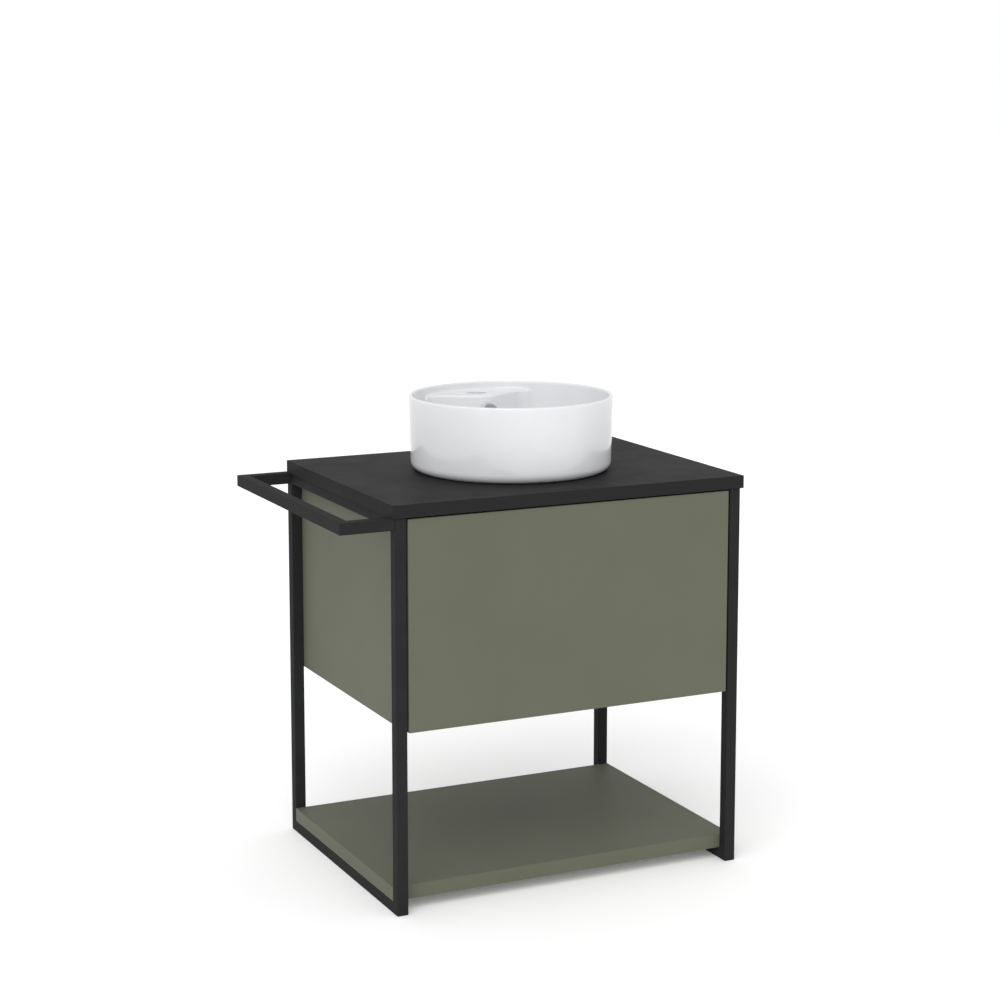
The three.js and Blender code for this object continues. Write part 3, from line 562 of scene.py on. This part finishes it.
def deck_edge():
    """The deck's edge from above, from its right end on the bowl wall round the nose to its left end."""
    round_steps, straight_steps = 24, 60
    cosine, sine = math.cos(DECK_ANGLE), math.sin(DECK_ANGLE)
    slope = math.degrees(DECK_ANGLE)
    nose = arc(0, DECK_APEX + DECK_NOSE / cosine, DECK_NOSE, -90, -90 + slope, round_steps)
    base = Vector((DECK_FILLET * sine, DECK_APEX - DECK_FILLET * cosine))
    along = Vector((cosine, sine))
    ahead = base.dot(along)
    run = -ahead + math.sqrt(ahead**2 - base.length_squared + (BOWL_RADIUS - DECK_FILLET) ** 2)
    centre = base + run * along
    wall_angle = math.degrees(math.atan2(centre.y, centre.x))
    corner = arc(centre.x, centre.y, DECK_FILLET, 90 + slope, wall_angle, round_steps)
    start, end = Vector(nose[-1]), Vector(corner[0])
    straight = [tuple(start.lerp(end, i / straight_steps)) for i in range(1, straight_steps)]
    right = nose + straight + corner
    return [Vector(p) for p in right[::-1]] + [Vector((-x, y)) for x, y in right[1:]]


def deck_radius(angles):
    """How far out the deck's edge is in each direction, or the bowl wall beside it."""
    points = deck_edge()
    turns = np.array([math.atan2(p.y, p.x) for p in points])
    reach = np.array([p.length for p in points])
    order = np.argsort(turns)
    return np.interp(angles, turns[order], reach[order], left=BOWL_RADIUS, right=BOWL_RADIUS)


def basin_angles():
    """Directions round the bowl, as many over the deck as round the rest of it."""
    edge = deck_edge()
    low, high = sorted(math.atan2(p.y, p.x) for p in (edge[0], edge[-1]))
    behind = np.linspace(low, high, BOWL_STEPS, endpoint=False)
    ahead = np.linspace(high, low + 2 * math.pi, BOWL_STEPS, endpoint=False)
    return np.concatenate([behind, ahead])


def between(start, end, count):
    """The points that divide a straight line into count parts, without its ends."""
    start, run = np.array(start), np.array(end) - np.array(start)
    return [tuple(start + run * i / count) for i in range(1, count)]


def blended(first, second, share):
    """Points that lie between two runs of points, on the first where share is 1."""
    pairs = zip(first, second)
    return [tuple(a * share + b * (1 - share) for a, b in zip(one, other)) for one, other in pairs]


def deck_section(edge, foot):
    """Profile from the rim's wall over the deck and down its front to the bowl's floor."""
    width = BOWL_RADIUS - edge
    cove = min(DECK_COVE, width * 0.3)
    lip = min(DECK_EDGE, width * 0.5)
    return (
        between((BOWL_RADIUS, RIM_CENTRE[1]), (BOWL_RADIUS, DECK_LEVEL + cove), 3)
        + arc(BOWL_RADIUS - cove, DECK_LEVEL + cove, cove, 0, -90, 6)
        + between((BOWL_RADIUS - cove, DECK_LEVEL), (edge + lip, DECK_LEVEL), 8)
        + arc(edge + lip, DECK_LEVEL - lip, lip, 90, 180, 6)
        + between((edge, DECK_LEVEL - lip), (foot, BOWL_FLOOR + BOWL_FILLET), 6)
    )


def bowl_section(edge):
    """Profile of the bowl from the rim's crest down to the waste, as (radius, height) points.

    edge is the distance of the deck's edge in this direction. Where the deck is narrow, its profile fades
    into the plain wall. Every direction gets the same number of points.
    """
    full_draft, full_deck = 40 * MM, 6 * MM  # widths at which the deck has its whole draft and profile
    width = BOWL_RADIUS - edge
    foot = edge - DECK_DRAFT * min(1.0, width / full_draft)
    over_deck = deck_section(edge, foot)
    top, bottom = (BOWL_RADIUS, RIM_CENTRE[1]), (BOWL_RADIUS, BOWL_FLOOR + BOWL_FILLET)
    plain = between(top, bottom, len(over_deck) + 1)
    share = min(1.0, width / full_deck)
    share = share * share * (3 - 2 * share)
    foot = foot * share + BOWL_RADIUS * (1 - share)
    recess_edge, recess_cove, hole_edge = 1.3 * MM, 1.0 * MM, 0.6 * MM
    return (
        arc(*RIM_CENTRE, RIM / 2, 90, 180, 6)
        + blended(over_deck, plain, share)
        + arc(foot - BOWL_FILLET, BOWL_FLOOR + BOWL_FILLET, BOWL_FILLET, 0, -90, 8)
        + between((foot - BOWL_FILLET, BOWL_FLOOR), (RECESS_RADIUS + recess_edge, BOWL_FLOOR), 14)
        + arc(RECESS_RADIUS + recess_edge, BOWL_FLOOR - recess_edge, recess_edge, 90, 180, 5)
        + arc(RECESS_RADIUS - recess_cove, FLANGE_SEAT + recess_cove, recess_cove, 0, -90, 3)
        + [(WASTE_HOLE + hole_edge, FLANGE_SEAT), (WASTE_HOLE, FLANGE_SEAT - hole_edge)]
    )


def underside_section():
    """From the waste hole's bottom out to the foot ring, up the outside and over to the rim's crest."""
    boss_edge, boss_flare, cove, cove_edge, foot_edge = 2 * MM, 5 * MM, 8 * MM, 2 * MM, 1.2 * MM
    base = [
        (WASTE_HOLE, BOSS_LEVEL),
        (BOSS_RADIUS - boss_edge, BOSS_LEVEL),
        (BOSS_RADIUS, BOSS_LEVEL + boss_edge),
        (BOSS_RADIUS + boss_flare, CEILING),
        (90 * MM, CEILING),
        (FOOT_INNER - cove, CEILING),
        (FOOT_INNER - cove_edge, CEILING - cove_edge),
        (FOOT_INNER, CEILING - cove),
        (FOOT_INNER, 8 * MM),
        (FOOT_INNER, foot_edge),
        (FOOT_INNER + foot_edge, 0),
        (FOOT_OUTER - 1 * MM, 0),
    ]
    bottom = BASIN_RADIUS - BASIN_TAPER
    round_edge = arc(bottom - BASIN_EDGE, BASIN_EDGE, BASIN_EDGE, -84, 0, 14)
    wall = between((bottom, BASIN_EDGE), (BASIN_RADIUS, RIM_CENTRE[1]), 12)
    crest = arc(*RIM_CENTRE, RIM / 2, 0, 75, 5)
    return base + round_edge + wall + crest


def deck_hollow():
    """The space under the tap deck, open downwards, where the tap's nut and hoses go."""
    nose = DECK_NOSE - HOLLOW_WALL
    apex = DECK_APEX + HOLLOW_WALL / math.cos(DECK_ANGLE)
    slope = math.degrees(DECK_ANGLE)
    front = arc(0, apex + nose / math.cos(DECK_ANGLE), nose, -90, -90 + slope, 8)
    ahead = apex * math.sin(DECK_ANGLE)
    run = -ahead + math.sqrt(ahead**2 - apex**2 + HOLLOW_RADIUS**2)
    corner = (run * math.cos(DECK_ANGLE), apex + run * math.sin(DECK_ANGLE))
    start = math.degrees(math.atan2(corner[1], corner[0]))
    right = front + arc(0, 0, HOLLOW_RADIUS, start, 90, 24)
    outline = right + [(-x, y) for x, y in right[-2:0:-1]]
    return prism("hollow_cutter", outline, HOLLOW_LOW, DECK_LEVEL - HOLLOW_WALL)


def prism(name, outline, low, high):
    """An upright block over an outline given about the basin's middle."""
    count = len(outline)
    vertices = [BASIN_CENTRE + Vector((x, y, z)) for z in (low, high) for x, y in outline]
    sides = [(i, (i + 1) % count, (i + 1) % count + count, i + count) for i in range(count)]
    ends = [tuple(range(count))[::-1], tuple(range(count, 2 * count))]
    return smooth(new_piece(name, vertices, sides + ends, GLAZE), 30)


def basin_block(low, high):
    return slab("basin_block", BASIN_CENTRE + Vector(low), BASIN_CENTRE + Vector(high), GLAZE)


def cut_basin(piece):
    """Hollows the deck, adds the overflow duct in its ribs, and opens the overflow and the tap hole."""
    combine(piece, deck_hollow())
    rib, back = DUCT_HALF + DUCT_WALL, DUCT_BACK + DUCT_WALL
    in_boss, in_bowl, in_deck = WASTE_HOLE + 2 * MM, CEILING + 3 * MM, DECK_LEVEL - HOLLOW_WALL / 2
    combine(piece, basin_block((-rib, in_boss, BOSS_LEVEL), (rib, back, in_bowl)), "UNION")
    combine(piece, basin_block((-rib, DUCT_FRONT - DUCT_WALL, BOSS_LEVEL), (rib, back, in_deck)), "UNION")
    combine(piece, basin_block((-DUCT_HALF, 0, DUCT_LOW), (DUCT_HALF, DUCT_BACK, DUCT_HIGH)))
    duct_top = OVERFLOW_LEVEL + OVERFLOW_RADIUS
    combine(piece, basin_block((-DUCT_HALF, DUCT_FRONT, DUCT_LOW), (DUCT_HALF, DUCT_BACK, duct_top)))
    combine(piece, overflow_mouth())
    combine(piece, tap_hole())


def overflow_mouth():
    """Round cutter from in front of the deck's nose into the duct."""
    start, end = DECK_APEX - DECK_DRAFT - 1 * MM, DUCT_FRONT + 2 * MM
    mouth = [(0, start), (OVERFLOW_RADIUS, start), (OVERFLOW_RADIUS, end), (0, end)]
    place = BASIN_CENTRE + Vector((0, 0, OVERFLOW_LEVEL))
    return turned("mouth_cutter", mouth, place, GLAZE, axis="y", segments=48)


def tap_hole():
    """Cutter through the deck, flared at the top for the hole's rounded edge."""
    flare, clear, headroom = 2 * MM, 0.5 * MM, 6 * MM
    below, above = DECK_LEVEL - 2 * HOLLOW_WALL, DECK_LEVEL + headroom
    hole = [(0, below), (TAP_HOLE_RADIUS, below)]
    hole += arc(TAP_HOLE_RADIUS + flare, DECK_LEVEL - flare, flare, 180, 92, 6)
    hole += [(TAP_HOLE_RADIUS + flare + clear, above), (0, above)]
    place = BASIN_CENTRE + Vector((0, TAP_HOLE_Y, 0))
    return turned("tap_cutter", hole, place, GLAZE, segments=64)


def basin():
    """One closed skin: a profile for each direction round the basin, then its cuts."""
    angles = basin_angles()
    edges = deck_radius(np.where(angles > math.pi, angles - 2 * math.pi, angles))
    outside = underside_section()
    rows = [bowl_section(edge) + outside for edge in edges]
    turns, count = len(rows), len(rows[0])
    vertices = []
    for angle, row in zip(angles, rows):
        for radius, height in row:
            place = Vector((radius * math.cos(angle), radius * math.sin(angle), height))
            vertices.append(BASIN_CENTRE + place)
    faces = []
    for i in range(turns):
        j = (i + 1) % turns
        for k in range(count):
            n = (k + 1) % count
            faces.append((i * count + k, j * count + k, j * count + n, i * count + n))
    piece = new_piece("basin_bowl", vertices, faces, GLAZE, CLAY)
    smooth(piece, 60)
    cut_basin(piece)
    smooth(piece, 50)
    foot_level = BASIN_CENTRE.z + 0.6 * MM
    for polygon in piece.data.polygons:
        if max(piece.data.vertices[v].co.z for v in polygon.vertices) < foot_level:
            polygon.material_index = 1
    fit(piece, "basin_set", "basin_ceramic", "basin")


# ---------------------------------------------------------------- waste, overflow and trap
def about(points):
    """Profile points given in millimetres."""
    return [(radius * MM, height * MM, *rest) for radius, height, *rest in points]


def overflow_cap():
    """A slightly dished disc on crossed legs that spring into the overflow's mouth."""
    low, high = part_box("overflow_cap")
    radius = (high.x - low.x) / 2
    centre = Vector(((low.x + high.x) / 2, low.y, (low.z + high.z) / 2))
    thick, band, dish = 6 * MM, 2.6 * MM, 0.35 * MM
    profile = [
        (0, dish),
        (radius - band - 0.6 * MM, 0.1 * MM),
        (radius - band, 0.0),
        (radius, 0.0),
        (radius, thick),
        (radius - 1.6 * MM, thick),
        (0, thick),
    ]
    profile = eased(profile, 1.3 * MM)
    piece = turned("overflow_cap_disc", profile, centre, CHROME, axis="y", segments=128)
    half_leg, reach = 1.5 * MM, 11.4 * MM
    front, back = centre.y + thick - 0.5 * MM, high.y - 0.2 * MM
    for half_x, half_z in ((reach, half_leg), (half_leg, reach)):
        bottom = (centre.x - half_x, front, centre.z - half_z)
        top = (centre.x + half_x, back, centre.z + half_z)
        combine(piece, slab("leg", bottom, top, CHROME), "UNION")
    smooth(piece)
    fit(piece, "basin_set", "chrome", "overflow_cap")


def upright(node):
    """A round upright node's radius, and its lowest and highest point above the basin's foot."""
    low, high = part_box(node)
    return (high.x - low.x) / 2, low.z - BASIN_CENTRE.z, high.z - BASIN_CENTRE.z


def waste_cover():
    """White cover of the plug, very slightly domed, with a soft edge."""
    radius, bottom, top = upright("waste_cap")
    cap = [
        (0, bottom),
        (radius - 4 * MM, bottom, 0),
        (radius - 1 * MM, bottom + 0.4 * MM),
        (radius, bottom + 1.4 * MM),
        (radius, top - 0.5 * MM),
        (radius - 3 * MM, top),
        (radius * 0.5, top + 0.25 * MM, 0),
        (0, top + 0.3 * MM),
    ]
    piece = turned("waste_cover", eased(cap, 1.6 * MM, 5), BASIN_CENTRE, GLAZE, segments=160)
    fit(piece, "waste_plug", "basin_ceramic", "waste_cap")


def waste_cover_stem():
    """The cover's stem, which slides in the waste's bridge and widens under the cover."""
    reach, bottom, top = upright("waste_cap_stem")
    stem_radius = 5 * MM
    stem = [
        (0, bottom),
        (stem_radius - 0.6 * MM, bottom),
        (stem_radius, bottom + 0.8 * MM),
        (stem_radius, top - 5 * MM),
        (stem_radius + 1.5 * MM, top - 3.2 * MM),
        (reach, top - 1.2 * MM),
        (reach, top),
        (0, top),
    ]
    piece = turned("waste_cover_stem", eased(stem, 0.6 * MM), BASIN_CENTRE, CHROME)
    fit(piece, "waste_plug", "chrome", "waste_cap_stem")


def seal_ring(name, node, bore, edge, body):
    """Rubber ring with rounded edges, from its bore out to the node's radius."""
    outer, bottom, top = upright(node)
    section = [(bore, bottom), (outer, bottom), (outer, top), (bore, top)]
    piece = turned(name, rounded(section, edge), BASIN_CENTRE, RUBBER)
    fit(piece, body, "rubber", node)


def waste_body():
    """Flanged waste with two overflow windows, a bridge for the plug's stem and a threaded tail."""
    socket, body, bore, flange = 16.3, 22.0, 19.0, 31.0
    pitch, thread_depth, flank = 0.8, 0.8, 0.35
    threads = []
    for turn in range(15):
        level = pitch * turn - 2
        threads += [(body, level), (body - thread_depth, level + flank), (body, level + 2 * flank)]
    seat = FLANGE_SEAT / MM
    profile = about(
        [(socket, -20), (socket + 2.5, -20), (socket + 2.5, -8), (body - 1, -3)]
        + threads
        + [(body, seat), (flange, seat), (flange - 0.2, seat + 1.0), (flange - 1.5, seat + 2.2)]
        + [(flange - 3.0, seat + 2.5), (bore + 3, seat + 2.5), (bore + 1, seat + 1.7)]
        + [(bore, seat - 0.5), (bore, -3), (socket, -6)]
    )
    piece = turned("waste_flange", profile, BASIN_CENTRE, CHROME)
    half_width, past_wall, clear = 6, 24, 0.5 * MM
    low, high = about([(-half_width, -past_wall), (half_width, past_wall)])
    windows = (*low, DUCT_LOW + clear), (*high, DUCT_HIGH - clear)
    combine(piece, slab("windows", *[BASIN_CENTRE + Vector(corner) for corner in windows], CHROME))
    half_long, half_wide, bottom, top = 20, 8, 17, 23
    corners = Vector((-half_long, -half_wide, bottom)), Vector((half_long, half_wide, top))
    bridge = slab("bridge", *[BASIN_CENTRE + corner * MM for corner in corners], CHROME)
    guide_bore = 5.3
    guide = about([(0, bottom - 2), (guide_bore, bottom - 2), (guide_bore, top + 2), (0, top + 2)])
    combine(bridge, turned("guide", guide, BASIN_CENTRE, CHROME))
    combine(piece, bridge, "UNION")
    smooth(piece)
    fit(piece, "basin_set", "chrome", "waste_body")


PIPE_LOW, PIPE_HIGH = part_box("trap_outlet_pipe")
PIPE_RADIUS = (PIPE_HIGH.x - PIPE_LOW.x) / 2
PIPE_WALL = 1.5 * MM
OUTLET_LEVEL = (PIPE_LOW.z + PIPE_HIGH.z) / 2
TRAP_AXIS = Vector((BASIN_CENTRE.x, BASIN_CENTRE.y, 0))
OUTLET_AXIS = Vector((BASIN_CENTRE.x, 0, OUTLET_LEVEL))


def pipe_section(start, end):
    """Section of the pipe's wall between two heights, with eased ends."""
    inner = PIPE_RADIUS - PIPE_WALL
    return rounded([(inner, start), (PIPE_RADIUS, start), (PIPE_RADIUS, end), (inner, end)], 0.5 * MM)


def pipes():
    low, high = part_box("tailpiece")
    piece = turned("tail_pipe", pipe_section(low.z, high.z), TRAP_AXIS, CHROME)
    fit(piece, "basin_set", "chrome", "tailpiece")
    piece = turned("outlet_pipe", pipe_section(PIPE_LOW.y, PIPE_HIGH.y), OUTLET_AXIS, CHROME, axis="y")
    fit(piece, "root", "chrome", "trap_outlet_pipe")


def wall_plate():
    """Bell-shaped rosette that covers the outlet's hole in the wall."""
    low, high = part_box("wall_rosette")
    reach = (high.x - low.x) / 2
    bore = PIPE_RADIUS + 0.3 * MM
    rosette = [
        (bore, low.y),
        (PIPE_RADIUS + 3.0 * MM, low.y, 1.2 * MM),
        (PIPE_RADIUS + 8.0 * MM, low.y + 5.5 * MM, 6 * MM),
        (reach, high.y - 3 * MM, 1.5 * MM),
        (reach, high.y),
        (bore, high.y),
    ]
    rosette = rounded(rosette, 0.5 * MM, 6)
    piece = turned("wall_plate", rosette, OUTLET_AXIS, CHROME, axis="y", segments=128)
    fit(piece, "root", "chrome", "wall_rosette")


def trap_bottle():
    """The trap's body: a bottle under a collar for the tailpiece, with a branch to the outlet."""
    low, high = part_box("trap_body")
    radius = 28 * MM
    inner, collar, pipe = radius - 2.5 * MM, 20 * MM, 17 * MM
    top, shoulder = high.z, high.z - 14 * MM
    body = [
        (inner, low.z),
        (radius, low.z),
        (radius, shoulder, 6 * MM),
        (collar, shoulder + 0.5 * MM, 1.0 * MM),
        (collar, top),
        (pipe, top),
        (pipe, shoulder - 3 * MM, 0),
        (inner, shoulder - 5 * MM, 0),
    ]
    piece = turned("trap_bottle", rounded(body, 0.6 * MM, 6), TRAP_AXIS, CHROME, segments=128)
    centre = TRAP_AXIS + Vector((0, 0, OUTLET_LEVEL))
    start, end, past = 10 * MM, high.y - TRAP_AXIS.y, 10 * MM
    branch_radius, passage_radius = 19.3 * MM, 16.3 * MM
    branch = [(0, start), (branch_radius, start), (branch_radius, end), (0, end)]
    below, above = low.z - past, shoulder - 6 * MM
    inside = [(0, below), (inner, below), (inner, above), (0, above)]
    passage = [(0, 0), (passage_radius, 0), (passage_radius, end + past), (0, end + past)]
    spout = turned("branch", branch, centre, CHROME, axis="y")
    combine(spout, turned("inside", inside, TRAP_AXIS, CHROME, segments=128))
    combine(piece, spout, "UNION")
    combine(piece, turned("passage", passage, centre, CHROME, axis="y"))
    smooth(piece)
    fit(piece, "root", "chrome", "trap_body")


def trap_cleanout():
    """The cup that unscrews from the bottle for cleaning, with a fluted grip."""
    low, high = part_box("trap_cup")
    outer = (high.x - low.x) / 2
    bore, floor = 28.3 * MM, 3 * MM
    heights = [high.z - step * (high.z - low.z - 10 * MM) / 10 for step in range(1, 10)]
    cup = (
        [(0, low.z), (outer - 7 * MM, low.z, 4 * MM), (outer, low.z + 7 * MM, 3 * MM)]
        + [(outer, height, 0) for height in heights[::-1]]
        + [(outer, high.z), (bore, high.z), (bore, low.z + 9 * MM, 0)]
        + [(23 * MM, low.z + floor, 0), (0, low.z + floor)]
    )
    cup = eased(cup, 0.8 * MM)
    flutes = (24, 1.0 * MM, low.z + 9.5 * MM, high.z - 3 * MM)
    piece = turned("trap_cleanout", cup, TRAP_AXIS, CHROME, segments=240, flutes=flutes)
    fit(piece, "root", "chrome", "trap_cup")


def collar_nut(node, axis, centre, bore):
    """Slip nut with a fluted grip, closed round the pipe at its far end."""
    low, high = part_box(node)
    index = {"y": 1, "z": 2}[axis]
    start, end = low[index], high[index]
    outer, lip = (high.x - low.x) / 2, PIPE_RADIUS + 0.3 * MM
    steps = [start + 1.5 * MM + k * 1.2 * MM for k in range(1, 9)]
    profile = (
        [(bore, start), (outer, start)]
        + [(outer, step, 0) for step in steps if step < end - 5.5 * MM]
        + [(outer, end - 4 * MM, 2.5 * MM), (bore, end, 2 * MM), (lip, end)]
        + [(lip, end - 6 * MM, 0), (bore, end - 6 * MM, 0)]
    )
    flutes = (30, 0.7 * MM, start + 2.2 * MM, end - 6 * MM)
    piece = turned(f"{node}_fluted", rounded(profile, 0.5 * MM), centre, CHROME, axis, 240, flutes)
    fit(piece, "root", "chrome", node)


# ---------------------------------------------------------------- camera and light
CAMERA_AZIMUTH = -25.49
CAMERA_ELEVATION = 8.54
CAMERA_AIM = Vector((0.0492, 0.0467, 0.7719))
CAMERA_DISTANCE = 4.053
CAMERA_LENS = 81.76
CAMERA_SHIFT = -0.08
KEY_DIRECTION = (-0.55, -0.75, 0.8)
KEY_STRENGTH = 1.2
KEY_SPREAD = 50
SKY_OVERHEAD = 0.8
FLOOR_HALF = 40.0


def camera():
    data = bpy.data.cameras.new("camera")
    data.lens = CAMERA_LENS
    data.sensor_width = 36.0
    data.shift_y = CAMERA_SHIFT
    made = bpy.data.objects.new("camera", data)
    bpy.context.scene.collection.objects.link(made)
    turn, rise = math.radians(CAMERA_AZIMUTH), math.radians(CAMERA_ELEVATION)
    back = Vector((math.sin(turn) * math.cos(rise), -math.cos(turn) * math.cos(rise), math.sin(rise)))
    made.location = CAMERA_AIM + back * CAMERA_DISTANCE
    made.rotation_euler = (-back).to_track_quat("-Z", "Y").to_euler()
    bpy.context.scene.camera = made


def key_light():
    """A broad soft light from above, in front and to the left."""
    data = bpy.data.lights.new("key_light", "SUN")
    data.energy = KEY_STRENGTH
    data.angle = math.radians(KEY_SPREAD)
    made = bpy.data.objects.new("key_light", data)
    bpy.context.scene.collection.objects.link(made)
    made.rotation_euler = (-Vector(KEY_DIRECTION)).to_track_quat("-Z", "Y").to_euler()


def studio_sky():
    """White at the horizon, a little darker overhead."""
    world = bpy.data.worlds.new("studio")
    world.use_nodes = True
    nodes, links = world.node_tree.nodes, world.node_tree.links
    split = nodes.new("ShaderNodeSeparateXYZ")
    fade = nodes.new("ShaderNodeMapRange")
    ends = {"From Min": 0.05, "From Max": 0.5, "To Min": 1.0, "To Max": SKY_OVERHEAD}
    for key, value in ends.items():
        fade.inputs[key].default_value = value
    links.new(nodes.new("ShaderNodeTexCoord").outputs["Generated"], split.inputs[0])
    links.new(split.outputs["Z"], fade.inputs["Value"])
    links.new(fade.outputs["Result"], nodes["Background"].inputs["Strength"])
    nodes["Background"].inputs["Color"].default_value = (1.0, 1.0, 1.0, 1.0)
    bpy.context.scene.world = world


def studio_floor():
    corners = [(-1, -1, 0), (1, -1, 0), (1, 1, 0), (-1, 1, 0)]
    corners = [tuple(FLOOR_HALF * c for c in corner) for corner in corners]
    paint = Paint("studio_floor", (0.965, 0.965, 0.965), 0.9, Emission_Strength=0.12)
    paint.shader.inputs["Emission Color"].default_value = (1.0, 1.0, 1.0, 1.0)
    paint.tint(paint.noise(0.5), (0.96, 0.96, 0.96), (0.97, 0.97, 0.97))
    new_piece("studio_floor", corners, [(0, 1, 2, 3)], paint.material)


side_frames()
towel_rail()
boards()
hardware()
basin()
overflow_cap()
waste_cover()
waste_cover_stem()
cover_seal_bore = upright("waste_cap_seal")[0] - 4 * MM
seal_ring("waste_cover_seal", "waste_cap_seal", cover_seal_bore, 0.5 * MM, "waste_plug")
waste_body()
seal_ring("waste_gasket", "waste_seal", 22.3 * MM, 0.9 * MM, "basin_set")
dressed("waste_backnut", BRASS, 0.7 * MM)
pipes()
wall_plate()
trap_bottle()
trap_cleanout()
collar_nut("trap_inlet_nut", "z", TRAP_AXIS, 20.3 * MM)
collar_nut("trap_outlet_nut", "y", OUTLET_AXIS, 19.6 * MM)
studio_sky()
studio_floor()
key_light()
camera()
bpy.context.scene.view_settings.view_transform = "Standard"
